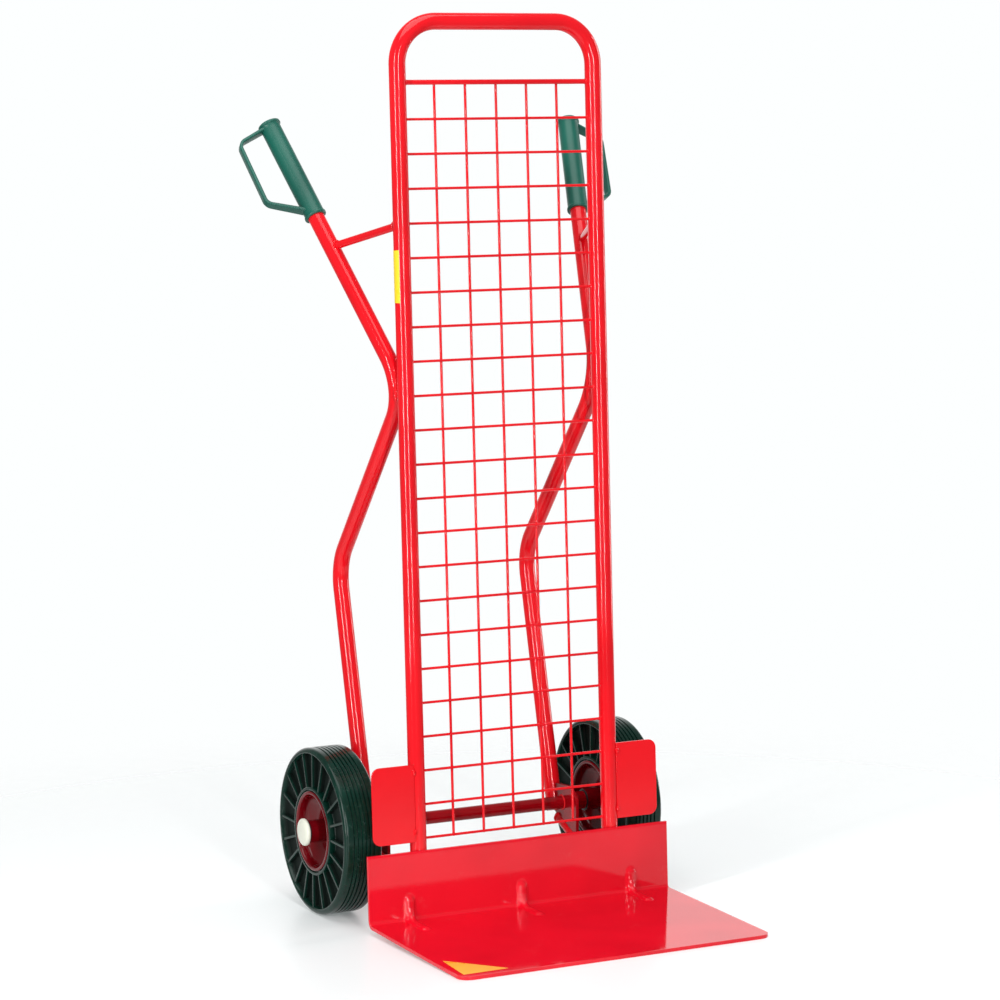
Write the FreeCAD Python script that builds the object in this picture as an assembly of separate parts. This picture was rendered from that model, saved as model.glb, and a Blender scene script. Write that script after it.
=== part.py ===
"""Two-wheeled hand truck with a welded wire back, splayed rear handles and solid tyres.

Every piece is drawn in the working frame of the toe plate (plate flat, millimetres, toe
toward -Y) and then leaned by one small angle so that the front lip and both tyres touch
the floor together. Final frame: X across, Y back, Z up, origin under the middle of the
bounding box. Right-hand pieces are drawn once and mirrored to the left.
"""
import FreeCAD
import Part
import math
import os

V = FreeCAD.Vector

# ---------------------------------------------------------------- driving dimensions
TUBE_OD = 25.0            # frame and handle tube
TUBE_WALL = 2.0
BEND_R = 75.0             # centreline bend radius of the handle tubes

PLATE_W = 499.0           # toe plate
PLATE_T = 5.0
PLATE_FRONT = -154.3
PLATE_CORNER_R = 18.0
FLANGE_TOP = 106.0

LEAN = 3.15               # back frame against the toe plate, degrees
REST_TILT = 1.75          # whole truck nose-down on its lip, degrees
FRAME_Y = 172.8           # tube axis at the lowest wire
FRAME_Z = 120.0
HALF_TRACK = 160.0        # half the spacing of the uprights
UPRIGHT_FOOT = -110.0     # along the frame from the lowest wire
HOOP_TOP = 1190.5
HOOP_CORNER_R = 62.0

WIRE_D = 4.0
WIRE_PITCH = 50.0
WIRE_ROWS = 22
WIRE_COLUMNS = 5
TOP_ROD_D = 7.5
TOP_ROD_S = 1103.0

AXLE_Y = 321.0
AXLE_Z = 110.54
AXLE_D = 20.0
AXLE_HALF = 281.0

WHEEL_R = 125.0
WHEEL_MID = 236.0         # middle of the tyre, from the centre plane
TYRE_HALF_W = 30.0
RUN_FIT = 0.05            # radial clearance of the bearings on the axle

Y_SHIFT = -156.364         # brings the bounding box centre to Y = 0

# ---------------------------------------------------------------- small helpers


def rod(p0, p1, radius):
    """Solid round bar between two points."""
    axis = p1 - p0
    return Part.makeCylinder(radius, axis.Length, p0, axis)


def hollow(p0, p1, outer, inner):
    """Round tube between two points."""
    return rod(p0, p1, outer).cut(rod(p0, p1, inner))


def mirrored(shape):
    """The same piece on the other side of the centre plane."""
    return shape.mirror(V(0, 0, 0), V(1, 0, 0))


def bent_wire(points, radius):
    """Polyline through the points with every inner corner rounded to one radius."""
    edges = []
    start = points[0]
    for i in range(1, len(points) - 1):
        here = points[i]
        back = (points[i - 1] - here).normalize()
        ahead = (points[i + 1] - here).normalize()
        half = back.getAngle(ahead) / 2
        run = radius / math.tan(half)
        first = here + back * run
        last = here + ahead * run
        centre = here + (back + ahead).normalize() * (radius / math.sin(half))
        middle = centre + (here - centre).normalize() * radius
        edges.append(Part.makeLine(start, first))
        edges.append(Part.Arc(first, middle, last).toShape())
        start = last
    edges.append(Part.makeLine(start, points[-1]))
    return Part.Wire(edges)


def swept(path, points, radius):
    """Round section carried along a path."""
    ring = Part.Wire(Part.makeCircle(radius, points[0], points[1] - points[0]))
    solid = Part.Solid(Part.Wire(path).makePipeShell([ring], True, False))
    if solid.Volume < 0:
        solid.reverse()
    return solid


def bent_tube(points, bend, outer, inner):
    """Hollow tube bent along a rounded polyline."""
    path = bent_wire(points, bend)
    return swept(path, points, outer).cut(swept(path, points, inner))


def turned(profile, axis_y, axis_z):
    """Ring turned about the axle line from (x, radius) corners."""
    corners = [V(x, axis_y, axis_z + r) for x, r in profile]
    face = Part.Face(Part.makePolygon(corners + [corners[0]]))
    return face.revolve(V(0, axis_y, axis_z), V(1, 0, 0), 360)


def slab(corners, normal_run):
    """Flat plate from a corner loop and one extrusion vector."""
    return Part.Face(Part.makePolygon(corners + [corners[0]])).extrude(normal_run)


def rounded_upright_edges(shape, radius, picks):
    """Rounds the edges whose middle is close to one of the picked points."""
    chosen = []
    for edge in shape.Edges:
        for pick in picks:
            if edge.CenterOfMass.distanceToPoint(pick) < 1.0:
                chosen.append(edge)
    return shape.makeFillet(radius, chosen)


def on_frame(shape):
    """From the flat back-frame sheet (X across, Z along) to its leaning place."""
    out = shape.copy()
    turn = FreeCAD.Rotation(V(1, 0, 0), -LEAN)
    out.Placement = FreeCAD.Placement(V(0, FRAME_Y, FRAME_Z), turn).multiply(out.Placement)
    return out


def frame_point(x, off, s):
    """Point of the back-frame sheet in the working frame."""
    a = math.radians(LEAN)
    y = FRAME_Y + s * math.sin(a) + off * math.cos(a)
    z = FRAME_Z + s * math.cos(a) - off * math.sin(a)
    return V(x, y, z)


# ---------------------------------------------------------------- back frame
R_OUT = TUBE_OD / 2
R_IN = R_OUT - TUBE_WALL

HOOP_PATH = [V(-HALF_TRACK, 0, UPRIGHT_FOOT), V(-HALF_TRACK, 0, HOOP_TOP),
             V(HALF_TRACK, 0, HOOP_TOP), V(HALF_TRACK, 0, UPRIGHT_FOOT)]


def hoop_frame():
    return on_frame(bent_tube(HOOP_PATH, HOOP_CORNER_R, R_OUT, R_IN))


def upright_core(side):
    """Full bar in the place of one upright, used to cut neighbours to fit."""
    return on_frame(rod(V(side * HALF_TRACK, 0, UPRIGHT_FOOT),
                        V(side * HALF_TRACK, 0, HOOP_TOP - 70), R_OUT))


def horizontal_wires():
    reach = HALF_TRACK - R_OUT
    wires = []
    for row in range(WIRE_ROWS):
        s = row * WIRE_PITCH
        wires.append(on_frame(rod(V(-reach, 0, s), V(reach, 0, s), WIRE_D / 2)))
    return Part.makeCompound(wires)


def vertical_wires():
    top = TOP_ROD_S - TOP_ROD_D / 2
    wires = []
    for column in range(WIRE_COLUMNS):
        x = (column - (WIRE_COLUMNS - 1) / 2) * WIRE_PITCH
        start = V(x, WIRE_D, -WIRE_D / 2)
        wires.append(on_frame(rod(start, V(x, WIRE_D, top + 2.5), WIRE_D / 2)))
    return Part.makeCompound(wires)


def top_rod():
    reach = HALF_TRACK - R_OUT
    bar = rod(V(-reach, 0, TOP_ROD_S), V(reach, 0, TOP_ROD_S), TOP_ROD_D / 2)
    return on_frame(bar).cut(vertical_wires())


# ---------------------------------------------------------------- toe plate
RIB_X = (-185.0, 0.0, 185.0)
RIB_R = 8.5               # radius of a pressed bead, sunk into the sheet
RIB_RISE = 4.2            # how far it stands above the sheet
RIB_ON_PLATE = 54.0
RIB_ON_FLANGE = 30.0
RIB_BRIDGE = 7.8


def flange_face_y(z):
    """Front face of the flange; its back face lies against the uprights."""
    touch = FRAME_Y + (z - FRAME_Z) * math.tan(math.radians(LEAN))
    return touch - R_OUT / math.cos(math.radians(LEAN)) - PLATE_T


def toe_plate():
    half = PLATE_W / 2
    low = flange_face_y(PLATE_T)
    high = flange_face_y(FLANGE_TOP)
    heel = flange_face_y(0) + PLATE_T
    section = [V(-half, PLATE_FRONT, 0), V(-half, heel, 0),
               V(-half, high + PLATE_T, FLANGE_TOP), V(-half, high, FLANGE_TOP),
               V(-half, low, PLATE_T), V(-half, PLATE_FRONT, PLATE_T)]
    plate = slab(section, V(PLATE_W, 0, 0))
    picks = [V(side * half, PLATE_FRONT, PLATE_T / 2) for side in (-1, 1)]
    plate = rounded_upright_edges(plate, PLATE_CORNER_R, picks)
    inner = V(0, low, PLATE_T)
    outer = V(0, heel, 0)
    plate = rounded_upright_edges(plate, 4.0, [inner])
    plate = rounded_upright_edges(plate, 8.5, [outer])
    top_picks = [V(side * half, high + PLATE_T / 2, FLANGE_TOP) for side in (-1, 1)]
    plate = rounded_upright_edges(plate, 3.0, top_picks)
    shell = plate
    keep = slab([V(-half, PLATE_FRONT, 1.0), V(-half, low + 20, 1.0),
                 V(-half, low + 20, 90), V(-half, PLATE_FRONT, 90)], V(PLATE_W, 0, 0))
    trim = behind_flange()
    for x in RIB_X:
        plate = plate.fuse(rib(x).common(keep).cut(trim))
    plate = plate.removeSplitter()
    plate = plate if plate.isValid() else shell
    return plate.cut(corner_label())


def rib(x):
    """One pressed bead that runs along the plate, round the bend and up the flange."""
    sunk = RIB_R - RIB_RISE
    lean = math.radians(LEAN)

    def up(z):
        return V(x, flange_face_y(z) + sunk / math.cos(lean), z)

    base = PLATE_T - sunk
    low = flange_face_y(PLATE_T)
    run = [V(x, low - RIB_ON_PLATE, base), V(x, low - RIB_BRIDGE, base),
           up(PLATE_T + RIB_BRIDGE), up(PLATE_T + RIB_ON_FLANGE)]
    bead = rod(run[0], run[1], RIB_R)
    for start, end in zip(run[1:], run[2:]):
        bead = bead.fuse(rod(start, end, RIB_R))
    for spot in run:
        bead = bead.fuse(Part.makeSphere(RIB_R, spot))
    return bead


def behind_flange():
    """Everything behind the middle of the flange sheet, used to trim ribs."""
    low = flange_face_y(0) + 2.5
    high = flange_face_y(200) + 2.5
    loop = [V(-300, low, 0), V(-300, low + 120, 0), V(-300, low + 120, 200),
            V(-300, high, 200)]
    return slab(loop, V(600, 0, 0))


# ---------------------------------------------------------------- wheel guards
GUARD_OUT = 237.0
GUARD_LOW = -3.0
GUARD_HIGH = 112.0
GUARD_FACE = -10.8        # front face, from the tube axis
GUARD_T = 3.0


def guard():
    start = HALF_TRACK + 4.0
    loop = [V(start, GUARD_FACE, GUARD_LOW), V(GUARD_OUT, GUARD_FACE, GUARD_LOW),
            V(GUARD_OUT, GUARD_FACE, GUARD_HIGH), V(start, GUARD_FACE, GUARD_HIGH)]
    plate = slab(loop, V(0, GUARD_T, 0))
    middle = GUARD_FACE + GUARD_T / 2
    picks = [V(GUARD_OUT, middle, GUARD_LOW), V(GUARD_OUT, middle, GUARD_HIGH)]
    plate = rounded_upright_edges(plate, 13.0, picks)
    return on_frame(plate).cut(upright_core(1))


# ---------------------------------------------------------------- rear handles
HANDLE_PATH = [V(160, 349.0, 92.0), V(160, 452.0, 488.0),
               V(160, 214.5, 779.0), V(252.6, 485.2, 1152.4)]
GRIP_AXIS = (HANDLE_PATH[3] - HANDLE_PATH[2]).normalize()
GRIP_FOOT = HANDLE_PATH[2] + GRIP_AXIS * 309.0


def handle_tube():
    return bent_tube(HANDLE_PATH, BEND_R, R_OUT, R_IN)


def handle_core():
    return swept(bent_wire(HANDLE_PATH, BEND_R), HANDLE_PATH, R_OUT)


STRUT_D = 12.0


def handle_strut():
    joint = HANDLE_PATH[2] + GRIP_AXIS * 252.0
    bar = rod(joint, frame_point(160, 0, 899.0), STRUT_D / 2)
    return bar.cut(handle_core()).cut(upright_core(1))


# ---------------------------------------------------------------- grips
GRIP_R = 15.4
GRIP_LEN = 165.0
KNUCKLE_T = 5.0
KNUCKLE_DEPTH = 14.0
KNUCKLE_TURN = 9.8        # degrees the guard is turned backwards round the grip


def grip():
    """Moulded sleeve with end flange, lower collar and D-shaped knuckle guard."""
    along = GRIP_AXIS
    out = V(1, 0, 0) - along * along.x
    out.normalize()
    turn = FreeCAD.Rotation(along, KNUCKLE_TURN)
    out = turn.multVec(out)
    depth = along.cross(out)

    def at(a, b):
        return GRIP_FOOT + along * a + out * b

    body = rod(at(-3, 0), at(GRIP_LEN, 0), GRIP_R)
    body = body.fuse(rod(at(-3, 0), at(2, 0), GRIP_R + 1.4))
    cap = rod(at(GRIP_LEN - 3, 0), at(GRIP_LEN + 1.5, 0), GRIP_R + 2.2)
    body = body.fuse(cap)
    loop = [at(3, 0), at(39.3, 63.7), at(150.6, 60.2), at(164.5, 0)]
    path = bent_wire(loop, 16.0)
    rim = Part.Wire(path.Edges + [Part.makeLine(loop[3], loop[0])])
    solid = Part.Face(rim)
    inner = Part.Face(rim.makeOffset2D(-KNUCKLE_T))
    strip = solid.cut(inner).extrude(depth * KNUCKLE_DEPTH)
    strip.translate(depth * (-KNUCKLE_DEPTH / 2))
    body = body.fuse(strip)
    body = body.cut(rod(at(-10, 0), at(GRIP_LEN - 3, 0), R_OUT))
    return body.removeSplitter()


# ---------------------------------------------------------------- axle group
BRACKET_T = 5.0


def axle():
    return rod(V(-AXLE_HALF, AXLE_Y, AXLE_Z), V(AXLE_HALF, AXLE_Y, AXLE_Z), AXLE_D / 2)


STAY_D = 14.0


def stay_bar():
    return rod(V(160, 347, 90), V(160, 170, 12.5), STAY_D / 2)


def stay():
    return stay_bar().cut(handle_core()).cut(upright_core(1))


def axle_bracket():
    """Side plate that joins handle foot, stay and axle."""
    x = HALF_TRACK - BRACKET_T / 2
    loop = [V(x, 353, 84), V(x, 361, 141), V(x, 292, 141), V(x, 274, 126),
            V(x, 274, 60)]
    plate = slab(loop, V(BRACKET_T, 0, 0))
    under = rod(V(160, 347 + 88.5, 90 + 38.75), V(160, 170, 12.5), STAY_D / 2)
    below = [V(x - 5, 400, 20), V(x - 5, 400, 113.2), V(x - 5, 200, 25.6), V(x - 5, 200, 20)]
    plate = plate.cut(slab(below, V(BRACKET_T + 10, 0, 0)))
    plate = plate.cut(under).cut(handle_core())
    plate = plate.cut(rod(V(0, AXLE_Y, AXLE_Z), V(300, AXLE_Y, AXLE_Z), AXLE_D / 2))
    return max(plate.Solids, key=lambda s: s.Volume)


def axle_spacer():
    start = HALF_TRACK + BRACKET_T / 2
    return hollow(V(start, AXLE_Y, AXLE_Z), V(194.0, AXLE_Y, AXLE_Z), 14.0, AXLE_D / 2)


def axle_washer():
    return hollow(V(274.0, AXLE_Y, AXLE_Z), V(275.5, AXLE_Y, AXLE_Z), 17.0, AXLE_D / 2)


def axle_cap():
    profile = [(275.5, 0), (275.5, 20.5), (279.0, 20.5), (281.5, 18.0), (283.2, 12.0),
               (283.8, 5.0), (283.9, 0)]
    dome = turned(profile, AXLE_Y, AXLE_Z)
    return dome.cut(axle())


# ---------------------------------------------------------------- wheels
RIB_COUNT = 20
RIB_W = 3.2
TREAD_GROOVES = 6


def tyre_profile():
    """Half of the section, from the bore out to the crown, as (offset, radius)."""
    half = [(27.8, 58.0), (27.8, 61.0), (29.0, 61.6), (29.0, 65.5), (20.0, 67.0),
            (20.0, 115.0), (29.4, 116.8), (30.0, 117.6), (30.0, 118.8)]
    for step in range(1, 6):
        a = math.radians(18 * step)
        half.append((23.8 + 6.2 * math.cos(a), 118.8 + 6.2 * math.sin(a)))
    grooves = []
    pitch = 6.4
    for i in range(TREAD_GROOVES // 2, 0, -1):
        centre = (i - 0.5) * pitch
        grooves += [(centre + 1.1, WHEEL_R), (centre + 0.8, WHEEL_R - 3),
                    (centre - 0.8, WHEEL_R - 3), (centre - 1.1, WHEEL_R)]
    half += grooves
    return half


def tyre():
    half = tyre_profile()
    right = [(WHEEL_MID + m, r) for m, r in half]
    left = [(WHEEL_MID - m, r) for m, r in reversed(half)]
    body = turned(right + left, AXLE_Y, AXLE_Z)
    ribs = []
    for side in (-1, 1):
        base = WHEEL_MID + side * 19.0
        low = min(base, base + side * 9.5)
        for i in range(RIB_COUNT):
            rib = Part.makeBox(9.5, RIB_W, 51.0, V(low, AXLE_Y - RIB_W / 2, AXLE_Z + 65.0))
            rib.rotate(V(low, AXLE_Y, AXLE_Z), V(1, 0, 0), 360.0 * i / RIB_COUNT)
            ribs.append(rib)
    return body.fuse(ribs).removeSplitter()


def hub_shell(side):
    """Pressed dish: rolled lip, wall under the tyre, cone and flat web."""
    half = [(0.0, 17.0), (2.0, 17.0), (2.0, 33.0), (4.5, 41.0), (12.0, 52.0),
            (17.0, 56.0), (28.0, 56.3), (29.6, 57.5), (29.8, 60.4), (27.8, 60.4),
            (27.8, 58.0), (15.0, 58.0), (10.4, 53.6), (2.8, 42.4), (0.0, 36.0)]
    return turned([(WHEEL_MID + side * m, r) for m, r in half], AXLE_Y, AXLE_Z)


SLEEVE_IN = 195.5
SLEEVE_OUT = 272.5


def hub_sleeve():
    return hollow(V(SLEEVE_IN, AXLE_Y, AXLE_Z), V(SLEEVE_OUT, AXLE_Y, AXLE_Z), 17.0, 14.0)


def hub_bearings():
    bore = AXLE_D / 2 + RUN_FIT
    inner = [(SLEEVE_IN - 1.2, bore), (SLEEVE_IN - 1.2, 16.5), (SLEEVE_IN, 16.5),
             (SLEEVE_IN, 14.0), (SLEEVE_IN + 22, 14.0), (SLEEVE_IN + 22, bore)]
    outer = [(SLEEVE_OUT + 1.2, bore), (SLEEVE_OUT + 1.2, 16.5), (SLEEVE_OUT, 16.5),
             (SLEEVE_OUT, 14.0), (SLEEVE_OUT - 22, 14.0), (SLEEVE_OUT - 22, bore)]
    return Part.makeCompound([turned(inner, AXLE_Y, AXLE_Z), turned(outer, AXLE_Y, AXLE_Z)])


# ---------------------------------------------------------------- weld beads and labels


def guard_welds():
    beads = []
    plate = guard()
    core = upright_core(1)
    for s in (12.0, 100.0):
        centre = frame_point(HALF_TRACK + 9.4, GUARD_FACE - 0.4, s)
        bead = Part.makeSphere(3.6, centre).cut(core).cut(plate)
        beads.append(max(bead.Solids, key=lambda b: b.Volume))
    return beads


def handle_welds():
    beads = []
    core = upright_core(1)
    tube = handle_core()
    for side in (-1, 1):
        x = HALF_TRACK + 1.6 + side * 8.0
        bar = rod(frame_point(x, 12.6, 646.0), frame_point(x, 12.2, 674.0), 4.2)
        bead = bar.cut(core).cut(tube)
        beads.append(max(bead.Solids, key=lambda b: b.Volume))
    return beads


def both_sides(solids):
    return Part.makeCompound(list(solids) + [mirrored(s) for s in solids])


def strip_label():
    """Plain coloured strip wrapped on the outer side of the left upright."""
    s0 = 786.0
    s1 = 862.0
    x = -HALF_TRACK
    skin = rod(V(x, 0, s0), V(x, 0, s1), R_OUT + 0.3).cut(rod(V(x, 0, s0), V(x, 0, s1), R_OUT))
    window = Part.makeBox(9.0, 17.0, s1 - s0, V(x - R_OUT - 1.5, -8.5, s0))
    return on_frame(skin.common(window))


def corner_label():
    """Plain triangular patch, flush with the toe plate's top."""
    low = PLATE_T - 0.3
    loop = [V(-236, -64, low), V(-240, -140, low), V(-169, -139, low)]
    return slab(loop, V(0, 0, 0.3))


# ---------------------------------------------------------------- assembly and export


def stand(shape):
    """Leans the finished piece onto the floor and centres the frame."""
    out = shape.copy()
    turn = FreeCAD.Rotation(V(1, 0, 0), REST_TILT)
    lip = V(0, PLATE_FRONT, 0)
    move = FreeCAD.Placement(V(0, Y_SHIFT, 0), FreeCAD.Rotation(), V(0, 0, 0))
    tilt = FreeCAD.Placement(V(0, 0, 0), turn, lip)
    out.Placement = move.multiply(tilt).multiply(out.Placement)
    return out


def main():
    os.makedirs("parts", exist_ok=True)
    nodes = {
        "hoop_frame": hoop_frame(),
        "toe_plate": toe_plate(),
        "top_rod": top_rod(),
        "mesh_horizontal_wires": horizontal_wires(),
        "mesh_vertical_wires": vertical_wires(),
        "axle": axle(),
        "guard_welds": both_sides(guard_welds()),
        "handle_welds": both_sides(handle_welds()),
        "upright_label": strip_label(),
        "toe_plate_label": corner_label(),
    }
    pairs = {
        "wheel_guard": guard(),
        "handle_tube": handle_tube(),
        "handle_strut": handle_strut(),
        "grip": grip(),
        "axle_bracket": axle_bracket(),
        "stay": stay(),
        "axle_spacer": axle_spacer(),
        "axle_washer": axle_washer(),
        "axle_cap": axle_cap(),
        "tyre": tyre(),
        "hub_outer_shell": hub_shell(1),
        "hub_inner_shell": hub_shell(-1),
        "hub_sleeve": hub_sleeve(),
        "hub_bearings": hub_bearings(),
    }
    for name, shape in pairs.items():
        nodes[name + "_right"] = shape
        nodes[name + "_left"] = mirrored(shape)
    box = FreeCAD.BoundBox()
    for name, shape in sorted(nodes.items()):
        placed = stand(shape)
        box.add(placed.BoundBox)
        placed.exportStep("parts/" + name + ".step")
        print(name, "solids", len(placed.Solids), "valid", placed.isValid(),
              "cm3", round(placed.Volume / 1000, 2))
    print("box", [round(v, 2) for v in (box.XMin, box.XMax, box.YMin, box.YMax,
                                        box.ZMin, box.ZMax)])


main()
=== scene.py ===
# %% [markdown]
# # A hand truck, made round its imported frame
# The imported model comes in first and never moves. Everything made below sits in the same
# frame: X across, Y back, Z up, metres, with the floor at zero.

# %% Load the frame
import math
import random

import bmesh
import bpy
from mathutils import Matrix, Vector


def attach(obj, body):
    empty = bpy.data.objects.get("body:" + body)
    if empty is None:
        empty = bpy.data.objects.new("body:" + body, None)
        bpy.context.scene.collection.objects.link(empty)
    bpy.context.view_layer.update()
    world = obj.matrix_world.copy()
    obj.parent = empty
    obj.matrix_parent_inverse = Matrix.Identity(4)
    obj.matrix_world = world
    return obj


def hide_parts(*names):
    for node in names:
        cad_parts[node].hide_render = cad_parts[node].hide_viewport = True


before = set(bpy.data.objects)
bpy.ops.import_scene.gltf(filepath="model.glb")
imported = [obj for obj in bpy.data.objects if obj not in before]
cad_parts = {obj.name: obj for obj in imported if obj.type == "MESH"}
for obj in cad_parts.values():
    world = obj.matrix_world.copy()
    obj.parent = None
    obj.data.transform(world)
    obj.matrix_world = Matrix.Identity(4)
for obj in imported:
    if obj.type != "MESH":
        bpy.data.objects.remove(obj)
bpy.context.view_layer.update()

MM = 0.001

# %% [markdown]
# ## Where things stand
# A hand truck is drawn easiest with its toe plate flat, and then the whole drawing is
# leaned a little until the front lip and both tyres share the floor. Two matrices do
# that here: one for the truck, and one for the sheet in which the welded back lies.

# %% Places
REST_TILT = math.radians(1.75)
LEAN = math.radians(3.15)
PLATE_FRONT = -154.3 * MM
CENTRING = -156.364 * MM
FRAME_Y = 172.8 * MM
FRAME_Z = 120.0 * MM
LIP = Matrix.Translation((0, PLATE_FRONT, 0))
STAND = (Matrix.Translation((0, CENTRING, 0)) @ LIP
         @ Matrix.Rotation(REST_TILT, 4, "X") @ LIP.inverted())
BACK = (STAND @ Matrix.Translation((0, FRAME_Y, FRAME_Z))
        @ Matrix.Rotation(-LEAN, 4, "X"))
AXLE_LINE = Vector((0, 321.0 * MM, 110.54 * MM))
WHEEL_MID = 236.0 * MM
SIDES = {"left": -1, "right": 1}
print("axle stands at", [round(v, 4) for v in STAND @ AXLE_LINE])


def mm(*numbers):
    """A point given in millimetres."""
    return Vector([n * MM for n in numbers])


# %% [markdown]
# ## Shader sums in plain Python
# A material is a set of sums on numbers that change over the surface. Wrapping each
# socket in a small class lets those sums be written as Python expressions.

# %% The socket class
class Amount:
    """A shader socket that adds and multiplies like a number."""

    def __init__(self, graph, socket):
        self.graph = graph
        self.socket = socket

    def sum(self, operation, first, second):
        return self.graph.node("ShaderNodeMath", {"operation": operation},
                               {0: first, 1: second})

    def __add__(self, other):
        return self.sum("ADD", self, other)

    __radd__ = __add__

    def __mul__(self, other):
        return self.sum("MULTIPLY", self, other)

    __rmul__ = __mul__

    def __sub__(self, other):
        return self.sum("SUBTRACT", self, other)

    def __rsub__(self, other):
        return self.sum("SUBTRACT", other, self)

    def __pow__(self, other):
        return self.sum("POWER", self, other)

    def over(self, low, high):
        """0 below low, 1 above high, smooth between."""
        return self.graph.node("ShaderNodeMapRange", {"interpolation_type": "SMOOTHSTEP"},
                               {"Value": self, "From Min": low, "From Max": high})


class Graph:
    """A material's or sky's node tree with one method for every kind of node."""

    def __init__(self, name, shelf=None):
        shelf = bpy.data.materials if shelf is None else shelf
        self.material = shelf.new(name)
        self.material.use_nodes = True
        self.tree = self.material.node_tree
        self.tree.nodes.clear()

    def node(self, kind, settings, inputs, output=0):
        """Adds a node: settings first, then a value or a link for each socket."""
        made = self.tree.nodes.new(kind)
        for key, value in settings.items():
            setattr(made, key, value)
        for key, value in inputs.items():
            if isinstance(value, Amount):
                self.tree.links.new(value.socket, made.inputs[key])
            else:
                made.inputs[key].default_value = value
        return Amount(self, made.outputs[output]) if made.outputs else None

    def place(self, scale=(1, 1, 1)):
        """Object coordinates, stretched if asked."""
        spot = self.node("ShaderNodeTexCoord", {}, {}, "Object")
        if scale == (1, 1, 1):
            return spot
        return self.node("ShaderNodeMapping", {}, {"Vector": spot, "Scale": scale})

    def axis(self, letter):
        """One of the place's X, Y and Z."""
        return self.node("ShaderNodeSeparateXYZ", {}, {0: self.place()}, letter)

    def noise(self, scale, detail=3.0, roughness=0.5, stretch=(1, 1, 1)):
        return self.node("ShaderNodeTexNoise", {},
                         {"Vector": self.place(stretch), "Scale": scale,
                          "Detail": detail, "Roughness": roughness})

    def mix(self, factor, first, second):
        return self.node("ShaderNodeMix", {"data_type": "RGBA"},
                         {0: factor, 6: first, 7: second}, 2)

    def bump(self, height, distance, strength=1.0):
        return self.node("ShaderNodeBump", {},
                         {"Height": height, "Distance": distance, "Strength": strength})

    def finish(self, **sockets):
        """Principled surface; keys are socket names with _ for spaces."""
        named = {key.replace("_", " "): value for key, value in sockets.items()}
        shader = self.node("ShaderNodeBsdfPrincipled", {}, named)
        self.node("ShaderNodeOutputMaterial", {}, {"Surface": shader})
        return self.material


def rgba(r, g, b):
    return (r, g, b, 1.0)


# %% [markdown]
# ## Finishes
# The frame is sprayed in a gloss powder coat. Its skin is never quite flat: a fine
# orange peel breaks the reflections up, and dust, rubs and hairline scratches make some
# patches a little duller. Peel and scratches are bump, rubs are roughness. The axle, its
# plates and the spacers take a darker copy of the coat, which is painted shade, as they
# stand in shade between the wheels. The hubs are a darker red still.

# %% Gloss powder coat
def powder_coat(name, colour, deep, rubs=0.5, gloss=0.40, base=0.065):
    g = Graph(name)
    broad = g.noise(7.0, 2.0)
    fine = g.noise(90.0, 4.0, 0.6)
    peel = g.noise(520.0, 2.0, 0.45)
    hair = g.noise(26.0, 5.0, 0.7, (1.0, 14.0, 1.6)).over(0.63, 0.71)
    scuffs = (g.noise(34.0, 6.0, 0.66).over(0.56, 0.78) * fine.over(0.42, 0.66)) * rubs
    tone = g.mix(broad.over(0.3, 0.75), colour, deep)
    dulled = g.mix(scuffs * 0.12, tone, rgba(0.62, 0.16, 0.15))
    rough = base + fine * 0.05 + scuffs * 0.14 + hair * 0.04
    skin = g.bump(peel + hair * -0.25, 0.00006, 0.3)
    return g.finish(Base_Color=dulled, Roughness=rough, Normal=skin,
                    Specular_IOR_Level=gloss)


RED = powder_coat("red_powder_coat", rgba(0.78, 0.006, 0.013), rgba(0.66, 0.004, 0.010))
PLATE_RED = powder_coat("toe_plate_coat", rgba(0.74, 0.004, 0.018),
                        rgba(0.62, 0.003, 0.014), rubs=0.9, gloss=0.5, base=0.035)
HUB_RED = powder_coat("hub_paint", rgba(0.15, 0.001, 0.004), rgba(0.09, 0.001, 0.003),
                      rubs=0.4, gloss=0.40, base=0.12)
# A darker copy of the coat: painted shade for the axle, its plates and the spacers, which
# stand in shade between the wheels.
PAINTED_SHADE_RED = powder_coat("painted_shade_coat", rgba(0.34, 0.001, 0.006), rgba(0.24, 0.001, 0.004),
                       rubs=0.5, gloss=0.36, base=0.12)
print("paints", RED.name, PLATE_RED.name, HUB_RED.name, PAINTED_SHADE_RED.name)

# %% [markdown]
# Solid tyres come out of the mould nearly black with a green cast and a dry bloom. The
# bloom is a pale mottle that also makes the rubber rougher, and fine dust lies over it.
# The pockets between the ribs are duller, and painted shade draws them near black. They
# are found by their distance from the axle and from the middle of the wheel.

# %% Tyre rubber
# Radii and offset of the pocket ring that gets painted shade.
POCKET_INNER = (66.5 * MM, 68.0 * MM)
POCKET_OUTER = (114.5 * MM, 116.5 * MM)
POCKET_MOUTH = (24.0 * MM, 27.8 * MM)


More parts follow.
